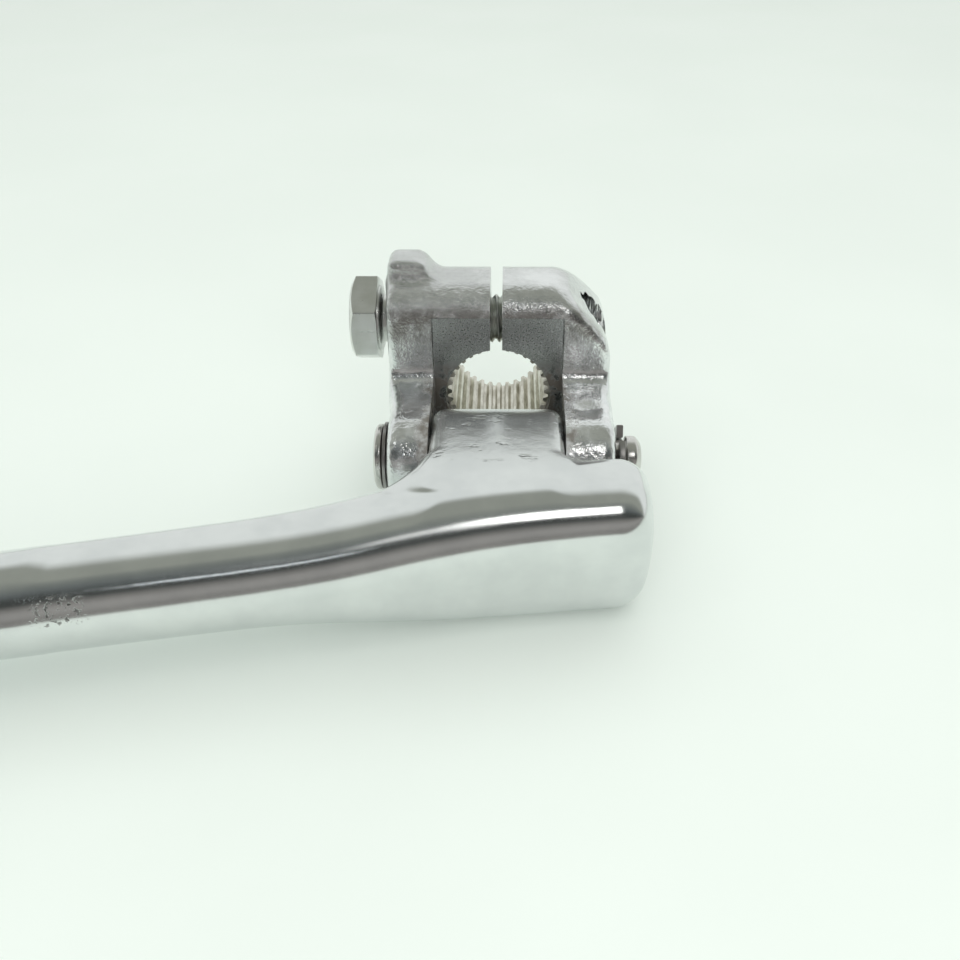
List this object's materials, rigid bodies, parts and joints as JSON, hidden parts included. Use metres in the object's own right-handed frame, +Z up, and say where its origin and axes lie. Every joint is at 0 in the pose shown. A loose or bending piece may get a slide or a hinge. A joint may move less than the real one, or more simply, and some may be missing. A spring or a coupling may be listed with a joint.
{
  "type": "kick start lever",
  "caption": "Chromed folding kick start lever: split serrated clamp boss with a pinch bolt, a cross pin between its legs, and a thick-headed arm that tapers to a ribbed rubber pedal.",
  "frame": {"origin": "centre of the bottom of the lever's box as it lies on a flat surface, unfolded", "axes": "+X along the arm towards the boss, +Y along the bore towards the engine, +Z up"},
  "size_m": [0.2114, 0.1732, 0.0393],
  "materials": {
    "cast_chrome": "chrome plating over a slightly rough casting, machined on the front face",
    "bright_chrome": "polished chrome plating with fine polishing marks",
    "zinc_plated_steel": "satin zinc plating",
    "pin_steel": "turned steel, lightly oiled",
    "washer_steel": "dark oiled steel",
    "clip_steel": "phosphated spring steel",
    "ball_steel": "polished ball",
    "spring_steel": "drawn spring wire",
    "rubber": "matt moulded rubber"
  },
  "bodies": {
    "boss": {"clamp_boss": "cast_chrome", "pinch_bolt": "zinc_plated_steel", "pivot_pin": "pin_steel", "pin_head_washer": "washer_steel", "pin_circlip": "clip_steel"},
    "arm": {"kick_arm": "bright_chrome", "pedal_rubber": "rubber", "detent_spring": "spring_steel"},
    "ball": {"detent_ball": "ball_steel"}
  },
  "joints": [
    {"name": "arm_fold", "type": "hinge", "parent": "boss", "child": "arm", "pos_m": [0.08272, 0.0571, 0.014], "axis": [-1, 0, 0], "range_deg": [0, 90]},
    {"name": "ball_travel", "type": "slide", "parent": "arm", "child": "ball", "axis": [1, 0, 0], "range_m": [0, 0.0005], "stiffness_N_per_m": 400}
  ]
}
